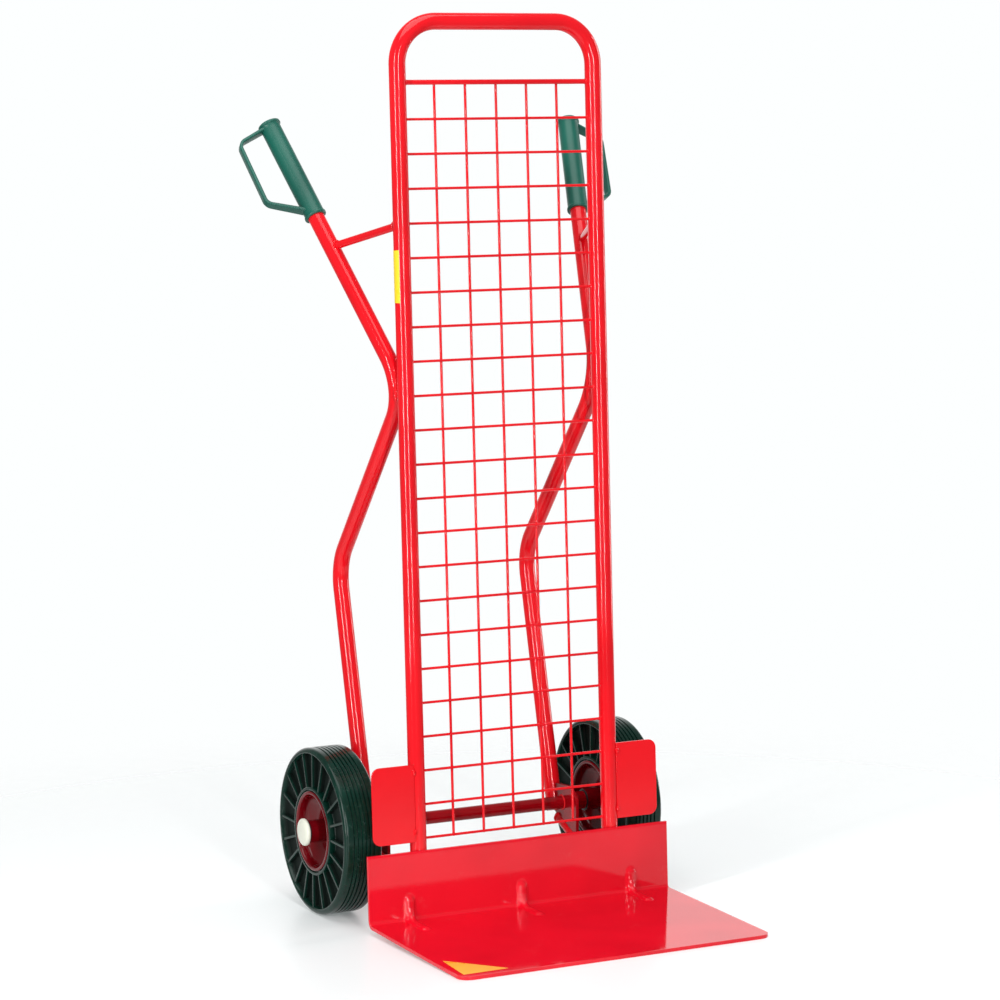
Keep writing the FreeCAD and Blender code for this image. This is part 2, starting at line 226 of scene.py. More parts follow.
def moulded_rubber(name, dark, bloom_colour):
    g = Graph(name)
    bloom = g.noise(38.0, 5.0, 0.62).over(0.40, 0.78)
    grain = g.noise(900.0, 3.0, 0.6)
    dust = g.noise(210.0, 4.0, 0.7).over(0.52, 0.74)
    tone = g.mix(bloom * 0.75, dark, bloom_colour)
    dusty = g.mix(dust * 0.08, tone, rgba(0.12, 0.16, 0.13))
    centre = STAND @ AXLE_LINE
    y = g.axis("Y") - centre.y
    z = g.axis("Z") - centre.z
    radius = (y * y + z * z) ** 0.5
    offset = ((g.axis("X") * g.axis("X")) ** 0.5 - WHEEL_MID) ** 2
    ring = radius.over(*POCKET_INNER) * (1.0 - radius.over(*POCKET_OUTER))
    # Mask of the pockets, used for painted shade and for duller rubber.
    pocket_shade_and_dull = ring * (1.0 - offset.over(*[m * m for m in POCKET_MOUTH]))
    rough = 0.17 + bloom * 0.10 + dust * 0.10 + pocket_shade_and_dull * 0.45
    # Painted shade: the pockets are drawn near black.
    pocket_shaded = g.mix(pocket_shade_and_dull * 0.85, dusty, rgba(0.0005, 0.003, 0.002))
    return g.finish(Base_Color=pocket_shaded, Roughness=rough,
                    Normal=g.bump(grain, 0.00008, 0.3), Specular_IOR_Level=0.30)


RUBBER = moulded_rubber("tyre_rubber", rgba(0.001, 0.019, 0.012), rgba(0.002, 0.034, 0.023))
print("rubber", RUBBER.name)

# %% [markdown]
# The grips are a satin green moulding. Moulded plastic shows a fine spark-eroded grain,
# slow changes of tone where the melt met, and faint polish where hands rub it.

# %% Moulded plastics
def moulded(name, colour, shade, roughness, grain_depth=0.00006):
    g = Graph(name)
    flow = g.noise(16.0, 3.0, 0.5, (1.0, 1.0, 0.35)).over(0.3, 0.72)
    grain = g.noise(1300.0, 2.0, 0.5)
    polish = g.noise(44.0, 4.0, 0.6).over(0.5, 0.72)
    rough = roughness + grain * 0.08 - polish * 0.09
    return g.finish(Base_Color=g.mix(flow, colour, shade), Roughness=rough,
                    Normal=g.bump(grain, grain_depth, 0.5), Specular_IOR_Level=0.4)


GREEN = moulded("grip_green", rgba(0.008, 0.112, 0.080), rgba(0.006, 0.086, 0.062), 0.34)
CREAM = moulded("cap_cream", rgba(0.74, 0.75, 0.65), rgba(0.69, 0.69, 0.58), 0.34)
BUSH = moulded("bush_black", rgba(0.030, 0.030, 0.032), rgba(0.020, 0.020, 0.022), 0.45)
YELLOW = moulded("yellow_film", rgba(0.90, 0.70, 0.030), rgba(0.84, 0.63, 0.024), 0.30,
                 0.00002)
AMBER = moulded("amber_film", rgba(0.95, 0.40, 0.010), rgba(0.92, 0.52, 0.015), 0.30,
                0.00002)
print("plastics", GREEN.name, CREAM.name, BUSH.name, YELLOW.name, AMBER.name)

# %% [markdown]
# Washers are zinc plated: bright, slightly blue steel with a fine spangle and turning
# marks from the press.

# %% Zinc plate
def zinc_plate():
    g = Graph("zinc_plate")
    spangle = g.noise(340.0, 3.0, 0.6)
    turning = g.noise(60.0, 2.0, 0.4, (22.0, 1.0, 1.0))
    tone = g.mix(spangle.over(0.35, 0.7), rgba(0.60, 0.61, 0.64), rgba(0.72, 0.72, 0.74))
    return g.finish(Base_Color=tone, Metallic=1.0, Roughness=0.26 + spangle * 0.16,
                    Normal=g.bump(turning, 0.00003, 0.5))


ZINC = zinc_plate()
print("zinc", ZINC.name)

# %% [markdown]
# ## Mesh helpers
# Nearly every piece of the truck is bent tube, turned ring or flat plate. Each of these
# gets one helper that returns a finished object: closed, normals outward, smooth
# except across real edges, and with its place in its own vertices.

# %% Making an object from faces
CREASE = math.radians(38.0)


def shown(name, data):
    """Puts a mesh, lamp or camera into the scene."""
    obj = bpy.data.objects.new(name, data)
    bpy.context.scene.collection.objects.link(obj)
    return obj


def settle(obj, material):
    """Merges doubles, turns faces outward and smooths all but the sharp edges."""
    mesh = bmesh.new()
    mesh.from_mesh(obj.data)
    bmesh.ops.remove_doubles(mesh, verts=mesh.verts, dist=1e-6)
    bmesh.ops.recalc_face_normals(mesh, faces=mesh.faces)
    for face in mesh.faces:
        face.smooth = True
    for edge in mesh.edges:
        if len(edge.link_faces) == 2:
            edge.smooth = edge.calc_face_angle(0.0) < CREASE
    mesh.to_mesh(obj.data)
    mesh.free()
    obj.data.materials.clear()
    obj.data.materials.append(material)
    return obj


def from_faces(name, verts, faces, material, matrix=None):
    data = bpy.data.meshes.new(name)
    data.from_pydata([tuple(v) for v in verts], [], faces)
    if matrix is not None:
        data.transform(matrix)
    return settle(shown(name, data), material)


def joined(name, parts, material):
    """One object from several, keeping their vertices where they are."""
    verts = []
    faces = []
    for part in parts:
        start = len(verts)
        verts += [v.co.copy() for v in part.data.vertices]
        faces += [[start + i for i in f.vertices] for f in part.data.polygons]
        bpy.data.objects.remove(part)
    return from_faces(name, verts, faces, material)


# %% A rounded run of points
def rounded(points, bend, steps=14):
    """The polyline with each inner corner turned into an arc."""
    out = [points[0].copy()]
    for before, here, after in zip(points, points[1:], points[2:]):
        back = (before - here).normalized()
        ahead = (after - here).normalized()
        half = back.angle(ahead) / 2
        run = bend / math.tan(half)
        first = here + back * run
        last = here + ahead * run
        centre = here + (back + ahead).normalized() * (bend / math.sin(half))
        spoke = first - centre
        axis = spoke.cross(last - centre).normalized()
        sweep = spoke.angle(last - centre)
        for i in range(steps + 1):
            turn = Matrix.Rotation(sweep * i / steps, 3, axis)
            out.append(centre + turn @ spoke)
    out.append(points[-1].copy())
    return out


def headings(path):
    """The way the path runs at each of its points."""
    last = len(path) - 1
    return [(path[min(i + 1, last)] - path[max(i - 1, 0)]).normalized()
            for i in range(last + 1)]


def rings_along(path, outline):
    """Carries a flat outline of (side, up) pairs along the path without twisting."""
    tangents = headings(path)
    side = tangents[0].orthogonal().normalized()
    rings = []
    for i, (spot, along) in enumerate(zip(path, tangents)):
        if i:
            side = (tangents[i - 1].rotation_difference(along) @ side).normalized()
        up = along.cross(side)
        rings.append([spot + side * a + up * b for a, b in outline])
    return rings


def circle(radius, sides):
    step = math.tau / sides
    return [(radius * math.cos(i * step), radius * math.sin(i * step))
            for i in range(sides)]


def skin_rings(rings, closed):
    """Quads between neighbouring rings of equal length."""
    verts = [v for ring in rings for v in ring]
    n = len(rings[0])
    faces = []
    count = len(rings) if closed else len(rings) - 1
    for i in range(count):
        a = i * n
        b = ((i + 1) % len(rings)) * n
        for j in range(n):
            k = (j + 1) % n
            faces.append([a + j, a + k, b + k, b + j])
    return verts, faces


def capped(rings):
    """An open run of rings with a face over each end."""
    verts, faces = skin_rings(rings, False)
    n = len(rings[0])
    return verts, faces + [list(range(n)), [len(verts) - n + i for i in range(n)]]


# %% Tubes and bars
def lipped(path, radius, sides, lip):
    """Rings of a round bar whose ends are chamfered by lip."""
    full = rings_along(path, circle(radius, sides))
    thin = rings_along(path, circle(radius - lip, sides))
    head = (path[1] - path[0]).normalized() * lip
    tail = (path[-1] - path[-2]).normalized() * lip
    start = [p + head for p in full[0]]
    end = [p - tail for p in full[-1]]
    return [thin[0], start] + full[1:-1] + [end, thin[-1]]


def pipe(name, path, outer, inner, material, matrix, sides):
    """Hollow tube with small lips at both ends."""
    bore = rings_along(path, circle(inner, sides))
    rings = [bore[0]] + lipped(path, outer, sides, 0.35 * MM) + bore[:0:-1]
    return from_faces(name, *skin_rings(rings, True), material, matrix)


def bar(name, path, radius, material, matrix, sides=28, lip=0.4 * MM):
    """Solid round bar with chamfered ends."""
    return from_faces(name, *capped(lipped(path, radius, sides, lip)), material, matrix)


# %% Turned rings and cut plates
def turned(name, profile, material, matrix, segments):
    """A closed (offset, radius) outline turned about X."""
    rings = []
    for i in range(segments):
        a = math.tau * i / segments
        rings.append([Vector((m, r * math.cos(a), r * math.sin(a))) for m, r in profile])
    return from_faces(name, *skin_rings(rings, True), material, matrix)


def soften(obj, width, angle):
    """Bevels the edges that turn by more than angle degrees."""
    soft = obj.modifiers.new("softened edges", "BEVEL")
    soft.width = width
    soft.segments = 2
    soft.limit_method = "ANGLE"
    soft.angle_limit = math.radians(angle)
    return obj


def slab_faces(n):
    """Both sides of a sheet with n points a side, and the wall round it."""
    faces = [list(range(n)), list(range(2 * n - 1, n - 1, -1))]
    return faces + [[i, (i + 1) % n, n + (i + 1) % n, n + i] for i in range(n)]


def plate(name, outline, thickness, material, matrix, bevel):
    """A flat sheet: outline in XZ, thickness along +Y, with softened edges."""
    verts = [Vector((x, y, z)) for y in (0, thickness) for x, z in outline]
    obj = from_faces(name, verts, slab_faces(len(outline)), material, matrix)
    return soften(obj, bevel, 50)


def round_corners(corners, radii, steps=8):
    """2D outline with each corner rounded by its own radius."""
    out = []
    count = len(corners)
    for i, radius in enumerate(radii):
        here = Vector(corners[i])
        if radius == 0:
            out.append(tuple(here))
            continue
        back = (Vector(corners[i - 1]) - here).normalized()
        ahead = (Vector(corners[(i + 1) % count]) - here).normalized()
        half = back.angle(ahead) / 2
        first = here + back * (radius / math.tan(half))
        last = here + ahead * (radius / math.tan(half))
        centre = here + (back + ahead).normalized() * (radius / math.sin(half))
        a0 = math.atan2(*(first - centre).yx)
        a1 = math.atan2(*(last - centre).yx)
        turn = (a1 - a0 + math.pi) % math.tau - math.pi
        for k in range(steps + 1):
            a = a0 + turn * k / steps
            out.append((centre.x + radius * math.cos(a), centre.y + radius * math.sin(a)))
    return out


print("helpers ready")

# %% [markdown]
# ## Growing repeats with Geometry Nodes
# Wires, tyre ribs and weld beads repeat by rule, so each gets a node tree built here,
# with named inputs. The tree's result is turned into a plain mesh straight away, which
# keeps the object free of live modifiers.

# %% Node tree helpers
def new_tree(name, **inputs):
    """Empty geometry tree with named inputs, and the nodes at its two ends."""
    tree = bpy.data.node_groups.new(name, "GeometryNodeTree")
    for label, kind in inputs.items():
        tree.interface.new_socket(label, in_out="INPUT", socket_type="NodeSocket" + kind)
    tree.interface.new_socket("Geometry", in_out="OUTPUT",
                              socket_type="NodeSocketGeometry")
    return tree, tree.nodes.new("NodeGroupInput"), tree.nodes.new("NodeGroupOutput")


def wire_up(tree, kind, links, settings=()):
    """Adds a node; each input gets a value, a socket or a node's first output."""
    node = tree.nodes.new(kind)
    for key, value in dict(settings).items():
        setattr(node, key, value)
    for key, value in links.items():
        if isinstance(value, bpy.types.Node):
            value = value.outputs[0]
        if isinstance(value, bpy.types.NodeSocket):
            tree.links.new(value, node.inputs[key])
        else:
            node.inputs[key].default_value = value
    return node


def reckon(tree, operation, first, second=0.0):
    """One sum inside a geometry tree."""
    return wire_up(tree, "ShaderNodeMath", {0: first, 1: second}, {"operation": operation})


def close_tree(tree, given, result, geometry):
    """Ends a tree in real geometry with its material set."""
    real = wire_up(tree, "GeometryNodeRealizeInstances", {0: geometry})
    dressed = wire_up(tree, "GeometryNodeSetMaterial",
                      {"Geometry": real, "Material": given.outputs["Material"]})
    tree.links.new(dressed.outputs[0], result.inputs[0])


def grow(name, tree, values, matrix):
    """Runs a tree on an empty object and keeps the result as a plain mesh."""
    seed = shown(name + "_seed", bpy.data.meshes.new(name + "_seed"))
    maker = seed.modifiers.new("maker", "NODES")
    maker.node_group = tree
    for item in tree.interface.items_tree:
        if item.in_out == "INPUT" and item.name in values:
            maker[item.identifier] = values[item.name]
    ready = seed.evaluated_get(bpy.context.evaluated_depsgraph_get())
    data = bpy.data.meshes.new_from_object(ready)
    seed.modifiers.clear()
    bpy.data.objects.remove(seed)
    data.name = name
    data.transform(matrix)
    print(name, "grown with", len(data.polygons), "faces")
    return settle(shown(name, data), values["Material"])


# %% [markdown]
# ## The bent hoop
# One tube forms both uprights and the top of the frame. It is bent cold round a former,
# so its corners are true arcs and its section stays round.

# %% Hoop
TUBE_R = 12.5 * MM
TUBE_BORE = 10.5 * MM
TRACK = 160.0 * MM
HOOP_TOP = 1190.5 * MM
UPRIGHT_FOOT = -110.0 * MM
hoop_line = [Vector((-TRACK, 0, UPRIGHT_FOOT)), Vector((-TRACK, 0, HOOP_TOP)),
             Vector((TRACK, 0, HOOP_TOP)), Vector((TRACK, 0, UPRIGHT_FOOT))]
hoop = pipe("hoop", rounded(hoop_line, 62.0 * MM, 20), TUBE_R, TUBE_BORE, RED, BACK, 44)
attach(hoop, "frame")
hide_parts("hoop_frame")
print("hoop faces", len(hoop.data.polygons))

# %% [markdown]
# ## The welded wire back
# Twenty-two wires cross between the uprights and five run up behind them. On the real
# back each end is resistance welded, which leaves a small collar, so the tree sets a
# squashed bead at both ends of every wire.

# %% Wire tree
def wire_tree():
    tree, given, result = new_tree(
        "wire rows", Count="Int", Length="Float", Radius="Float", Bead="Float",
        Pitch="Vector", Start="Vector", Turn="Vector", Material="Material")
    value = given.outputs
    row = wire_up(tree, "GeometryNodeMeshLine",
                  {"Count": value["Count"], "Start Location": value["Start"],
                   "Offset": value["Pitch"]}, {"mode": "OFFSET"})
    wire = wire_up(tree, "GeometryNodeMeshCylinder",
                   {"Vertices": 16, "Radius": value["Radius"], "Depth": value["Length"]})
    bead = wire_up(tree, "GeometryNodeMeshUVSphere",
                   {"Segments": 12, "Rings": 8, "Radius": value["Bead"]})
    pieces = [wire]
    for end in (-0.5, 0.5):
        spot = wire_up(tree, "ShaderNodeCombineXYZ",
                       {"Z": reckon(tree, "MULTIPLY", value["Length"], end)})
        pieces.append(wire_up(tree, "GeometryNodeTransform",
                              {"Geometry": bead, "Translation": spot,
                               "Scale": (1.0, 1.0, 0.55)}))
    whole = wire_up(tree, "GeometryNodeJoinGeometry", {})
    for piece in pieces:
        tree.links.new(piece.outputs[0], whole.inputs[0])
    set_out = wire_up(tree, "GeometryNodeInstanceOnPoints",
                      {"Points": row, "Instance": whole, "Rotation": value["Turn"]})
    close_tree(tree, given, result, set_out)
    return tree


WIRES = wire_tree()
WIRE_R = 2.0 * MM
PITCH = 50.0 * MM
ROD_S = 1103.0 * MM
reach = 2 * (TRACK - TUBE_R) + 0.6 * MM

# %% Wires and crossbar
across = grow("wires_across", WIRES, {
    "Count": 22, "Length": reach, "Radius": WIRE_R, "Bead": 3.3 * MM,
    "Pitch": (0, 0, PITCH), "Start": (0, 0, 0), "Turn": (0, math.pi / 2, 0),
    "Material": RED}, BACK)
tall = ROD_S + WIRE_R - 2 * MM
upward = grow("wires_upright", WIRES, {
    "Count": 5, "Length": tall, "Radius": WIRE_R, "Bead": 2.02 * MM,
    "Pitch": (PITCH, 0, 0), "Start": (-2 * PITCH, 3.8 * MM, tall / 2 - WIRE_R),
    "Turn": (0, 0, 0), "Material": RED}, BACK)
rail = grow("crossbar", WIRES, {
    "Count": 1, "Length": reach, "Radius": 3.75 * MM, "Bead": 5.2 * MM,
    "Pitch": (0, 0, 0), "Start": (0, 0, ROD_S), "Turn": (0, math.pi / 2, 0),
    "Material": RED}, BACK)
for piece, node in ((across, "mesh_horizontal_wires"), (upward, "mesh_vertical_wires"),
                    (rail, "top_rod")):
    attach(piece, "frame")
    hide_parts(node)

# %% [markdown]
# ## The toe plate
# The plate is one pressing: a wide shelf, a bend, and a low wall against the uprights,
# stiffened by three narrow beads pressed up along the shelf, round the bend and up the
# wall. A fine sheet of points follows the section, each bead lifts its points off it, and
# Solidify gives the sheet its thickness.

# %% Plate section
PLATE_HALF = 249.5 * MM
PLATE_T = 5.0 * MM
CORNER_R = 18.0 * MM
BEND_IN = 4.0 * MM
FLANGE_TOP = 106.0 * MM
TOUCH = TUBE_R / math.cos(LEAN) + PLATE_T


def flange_y(z):
    """Front face of the wall, parallel to the uprights behind it."""
    return FRAME_Y + (z - FRAME_Z) * math.tan(LEAN) - TOUCH


def section():
    """Top and front surface from lip to wall top as (distance from corner, point)."""
    heel = Vector((0, flange_y(PLATE_T), PLATE_T))
    top = Vector((0, flange_y(FLANGE_TOP), FLANGE_TOP))
    front = Vector((0, PLATE_FRONT, PLATE_T))
    flat = (heel - front).length
    wall = (top - heel).length
    out = (front - heel).normalized()
    up = (top - heel).normalized()
    near = [2.2 * MM * i for i in range(1, 34)]
    far = [near[-1] + (flat - CORNER_R - near[-1]) * i / 26 for i in range(1, 27)]
    nose = [flat - CORNER_R * math.cos(math.pi / 2 * i / 12) for i in range(1, 13)]
    low = [2.0 * MM * i for i in range(1, 24)]
    high = [low[-1] + (wall - low[-1]) * i / 12 for i in range(1, 13)]
    run = [(-d, heel + out * d) for d in sorted(near + far + nose, reverse=True)]
    run.append((0.0, heel))
    run += [(d, heel + up * d) for d in low + high]
    return run, heel, out, up


def columns():
    """Places across the plate, close together near each dart and at the corners."""
    marks = {round(c + i * 0.9 * MM, 6) for c in DART_X for i in range(-16, 17)}
    for i in range(-62, 63):
        x = i * 4.0 * MM
        if all(abs(x - c) > 16 * MM for c in DART_X):
            marks.add(round(x, 6))
    marks.update((-PLATE_HALF, PLATE_HALF))
    return sorted(marks)


DART_X = (-185.0 * MM, 0.0, 185.0 * MM)
DART_RISE = 4.2 * MM
DART_HALF = 8.6 * MM
DART_ON_PLATE = 61.0 * MM
DART_ON_WALL = 37.0 * MM
DART_END = 7.5 * MM
DART_DOME = 0.8
DART_FALL = 0.72


def dart_height(x, d):
    """How far the pressed bead stands above the sheet at this place."""
    across = min(abs(x - c) for c in DART_X) / DART_HALF
    end = -DART_ON_PLATE + DART_END if d < 0 else DART_ON_WALL - DART_END
    beyond = max(0.0, abs(d) - abs(end)) / DART_END
    near = math.hypot(across, beyond)
    if near >= 1:
        return 0.0
    dome = 1.0 - DART_FALL * min(near, DART_DOME) ** 2
    if near < DART_DOME:
        return DART_RISE * dome
    return DART_RISE * dome * (1 - (near - DART_DOME) / (1 - DART_DOME)) ** 1.3


# %% Plate sheet
def sheet_of_points():
    run, heel, out, up = section()
    xs = columns()
    raised = Vector((0, 0, 1))
    ahead = Vector((0, -up.z, up.y))
    verts = []
    for d, spot in run:
        half = PLATE_HALF
        lip = d + (heel - Vector((0, PLATE_FRONT, PLATE_T))).length
        if lip < CORNER_R:
            half -= CORNER_R - math.sqrt(max(0.0, CORNER_R ** 2 - (CORNER_R - lip) ** 2))
        for x in xs:
            rise = dart_height(x, d)
            bend = BEND_IN + 3.0 * rise
            corner = heel + raised * rise + ahead * rise
            if abs(d) < bend:
                a = corner + out * bend
                b = corner + up * bend
                t = (d + bend) / (2 * bend)
                place = a.lerp(corner, t).lerp(corner.lerp(b, t), t)
            else:
                place = spot + (raised if d < 0 else ahead) * rise
            verts.append(Vector((max(-half, min(half, x)), place.y, place.z)))
    n = len(xs)
    faces = [[r * n + c, r * n + c + 1, (r + 1) * n + c + 1, (r + 1) * n + c]
             for r in range(len(run) - 1) for c in range(n - 1)]
    return verts, faces


verts, faces = sheet_of_points()
data = bpy.data.meshes.new("toe_plate_pressing")
data.from_pydata([tuple(v) for v in verts], [], faces)
toe = shown("toe_plate_pressing", data)
mesh = bmesh.new()
mesh.from_mesh(data)
bmesh.ops.remove_doubles(mesh, verts=mesh.verts, dist=2e-5)
bmesh.ops.dissolve_degenerate(mesh, dist=1e-5, edges=mesh.edges)
inner = [v for v in mesh.verts if not v.is_boundary]
for _ in range(2):
    bmesh.ops.smooth_vert(mesh, verts=inner, factor=0.4, use_axis_x=False,
                          use_axis_y=True, use_axis_z=True)
bmesh.ops.recalc_face_normals(mesh, faces=mesh.faces)
if sum(f.normal.z for f in mesh.faces) < 0:
    bmesh.ops.reverse_faces(mesh, faces=mesh.faces)
mesh.to_mesh(data)
mesh.free()
data.transform(STAND)
data.materials.append(PLATE_RED)
for face in data.polygons:
    face.use_smooth = True
thick = toe.modifiers.new("sheet thickness", "SOLIDIFY")
thick.thickness = PLATE_T
thick.offset = -1.0
soften(toe, 0.7 * MM, 55)
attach(toe, "frame")
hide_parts("toe_plate")
print("toe plate sheet", len(data.vertices), "points")

# %% [markdown]
# ## Wheel guards
# A small plate stands out from each upright in front of the tyre. Only its outer corners
# are rounded; the inner edge is tacked to the tube.

# %% Guards
GUARD_FACE = -10.8 * MM
guard_loop = round_corners([(168.6, -3.0), (237.0, -3.0), (237.0, 112.0), (168.6, 112.0)],
                           [0, 13.0, 13.0, 0])
for name, side in SIDES.items():
    outline = [(side * x * MM, z * MM) for x, z in guard_loop]
    guard = plate("guard_" + name, outline, 3.0 * MM, RED,
                  BACK @ Matrix.Translation((0, GUARD_FACE, 0)), 0.5 * MM)
    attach(guard, "frame")
    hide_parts("wheel_guard_" + name)
print("guard outline points", len(guard_loop))

# %% [markdown]
# ## Rear handles
# Each handle is one tube: up from the axle, forward to touch the upright, then back and
# outward to the hand. Braces above and stays below tie it to the frame.

# %% Handle tubes, braces and stays
HANDLE = [mm(160, 349, 92), mm(160, 452, 488), mm(160, 214.5, 779), mm(252.6, 485.2, 1152.4)]
GRIP_LINE = (HANDLE[3] - HANDLE[2]).normalized()
GRIP_FOOT = HANDLE[2] + GRIP_LINE * (309.0 * MM)
BRACE_FOOT = HANDLE[2] + GRIP_LINE * (252.0 * MM)
UPRIGHT_AT = STAND.inverted() @ BACK


def flip(points, side):
    return [Vector((p.x * side, p.y, p.z)) for p in points]


brace_top = UPRIGHT_AT @ Vector((TRACK, 0, 899.0 * MM))
STAY = [mm(160, 347, 90), mm(160, 170, 12.5)]


def trimmed(points, start, end):
    """A straight run shortened at both ends."""
    along = (points[1] - points[0]).normalized()
    return [points[0] + along * start, points[1] - along * end]


for name, side in SIDES.items():
    tube = pipe("handle_" + name, rounded(flip(HANDLE, side), 75 * MM, 18), TUBE_R,
                TUBE_BORE, RED, STAND, 40)
    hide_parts("handle_tube_" + name)
    brace = bar("brace_" + name,
                trimmed(flip([BRACE_FOOT, brace_top], side), 10 * MM, 11 * MM),
                6.0 * MM, RED, STAND)
    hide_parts("handle_strut_" + name)
    low = bar("stay_" + name, trimmed(flip(STAY, side), 10 * MM, 11 * MM), 7.0 * MM,
              RED, STAND)
    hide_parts("stay_" + name)
    for piece in (tube, brace, low):
        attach(piece, "frame")
print("handle foot to grip", round((GRIP_FOOT - HANDLE[0]).length, 3))

# %% [markdown]
# ## Grips with knuckle guards
# The grip is a moulded sleeve with a flange at the top, a collar at the bottom and a flat
# loop that keeps knuckles off doorframes. Sleeve and loop are modelled apart and meet
# inside the sleeve's wall, as the mould would run them together.

# %% Grip sleeve and loop
GUARD_TURN = math.radians(9.8)


def grip_matrix(side):
    """Frame whose X runs up the grip and whose Y points out along the guard."""
    along, foot = flip([GRIP_LINE, GRIP_FOOT], side)
    out = Vector((side, 0, 0))
    out = (out - along * along.dot(out)).normalized()
    out = Matrix.Rotation(GUARD_TURN * side, 3, along) @ out
    turn = Matrix((along, out, along.cross(out))).transposed().to_4x4()
    return STAND @ Matrix.Translation(foot) @ turn


SLEEVE = [(-3.0, 12.6), (-3.0, 15.8), (-2.4, 16.5), (-1.3, 16.8), (0.6, 16.8), (1.6, 16.5),
          (2.4, 15.7), (5.0, 15.4), (60.0, 15.5), (110.0, 15.5), (156.0, 15.4),
          (160.4, 15.5), (161.5, 16.1), (162.0, 17.0), (162.8, 17.5), (164.6, 17.6),
          (165.8, 17.3), (166.4, 16.4), (166.5, 12.0), (166.5, 6.0), (166.5, 0.02),
          (162.0, 0.02), (162.0, 12.6)]
LOOP = [mm(9.6, 9, 0), mm(40.9, 61.1, 0), mm(148.4, 57.7, 0), mm(160.0, 9, 0)]


def knuckle_loop(name, matrix):
    """A rounded strip along the loop, a little wider where it enters the sleeve."""
    path = rounded(LOOP, 13.5 * MM, 12)
    a = 2.5 * MM
    out = []
    across = Vector((0, 0, 1))
    for i, (spot, ahead) in enumerate(zip(path, headings(path))):
        side = ahead.cross(across).normalized()
        b = (8.75 if i in (0, len(path) - 1) else 7.0) * MM
        strip = round_corners([(-a, -b), (a, -b), (a, b), (-a, b)], [1.6 * MM] * 4, 4)
        out.append([spot + side * x + across * y for x, y in strip])
    return from_faces(name, *capped(out), GREEN, matrix)


for name, side in SIDES.items():
    spot = grip_matrix(side)
    sleeve = turned("sleeve", [(a * MM, r * MM) for a, r in SLEEVE], GREEN, spot, 56)
    grip = joined("knuckle_grip_" + name, [sleeve, knuckle_loop("loop", spot)], GREEN)
    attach(grip, "frame")
    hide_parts("grip_" + name)
print("grip length", SLEEVE[14][0] - SLEEVE[0][0], "mm")

# %% [markdown]
# ## Axle, brackets and caps
# One bar carries both wheels. A side plate joins it to the handle foot and the stay, a
# spacer keeps the hub off the plate, and a washer and a push-on cap close the outside.

# %% Axle group
AXLE_R = 10.0 * MM
# The axle bar takes the darker coat, which is painted shade.
axle_bar = bar("axle_bar", [AXLE_LINE - mm(281, 0, 0), AXLE_LINE + mm(281, 0, 0)], AXLE_R,
               PAINTED_SHADE_RED, STAND, 36, 1.0 * MM)
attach(axle_bar, "frame")
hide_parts("axle")

BRACKET = round_corners([(349.0, 93.5), (343.5, 137.0), (296.0, 141.0), (274.0, 124.0),
                         (274.0, 67.5)], [0, 4, 14, 14, 0], 6)
SPACER = [(162.5, 10.02), (162.5, 13.6), (162.9, 14.0), (193.6, 14.0), (194.0, 13.6),
          (194.0, 10.02)]
WASHER = [(274.0, 10.02), (274.0, 16.8), (274.2, 17.0), (275.3, 17.0), (275.5, 16.8),
          (275.5, 10.02)]
CAP = [(275.52, 10.1), (275.52, 19.6), (275.9, 20.2), (276.6, 20.5), (278.6, 20.5),
       (280.0, 20.0), (281.2, 18.6), (282.2, 16.0), (283.0, 12.0), (283.6, 7.0),
       (283.85, 3.0), (283.9, 0.02), (281.1, 0.02), (281.1, 10.1)]


def lathe_mm(name, profile, material, side, segments=48, centre=0.0):
    """Turned ring on the axle line, mirrored for the left side."""
    spot = STAND @ Matrix.Translation(AXLE_LINE + Vector((side * centre, 0, 0)))
    return turned(name, [(side * m * MM, r * MM) for m, r in profile], material, spot,
                  segments)


def side_plate(name, side):
    """Bracket outline given as (Y, Z), stood up across the truck."""
    half = 2.5 * MM
    verts = [mm(side * 160, y, z) + Vector((k * half, 0, 0))
             for k in (-1, 1) for y, z in BRACKET]
    # The plate takes the darker coat, which is painted shade.
    obj = from_faces(name, verts, slab_faces(len(BRACKET)), PAINTED_SHADE_RED, STAND)
    return soften(obj, 0.6 * MM, 60)


for name, side in SIDES.items():
    # Brackets and spacers take the darker coat, which is painted shade.
    made = ((side_plate("bracket_" + name, side), "axle_bracket_", "red_paint"),
            (lathe_mm("spacer_" + name, SPACER, PAINTED_SHADE_RED, side), "axle_spacer_", "red_paint"),
            (lathe_mm("washer_" + name, WASHER, ZINC, side), "axle_washer_", "zinc_steel"),
            (lathe_mm("cap_" + name, CAP, CREAM, side, 64), "axle_cap_", "cream_cap"))
    for piece, node, finish in made:
        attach(piece, "frame")
        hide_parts(node + name)
print("axle pieces on both sides")

# %% [markdown]
# ## Solid tyres
# The tyre is one moulding with a grooved tread and, on each face, a deep ring of radial
# ribs. The round body is turned from its section, and the ribs are set out by a tree
# that repeats one rib round a circle.

# %% Tyre section
TREAD_R = 125.0
TREAD_GROOVES = 6
RIBS = 20


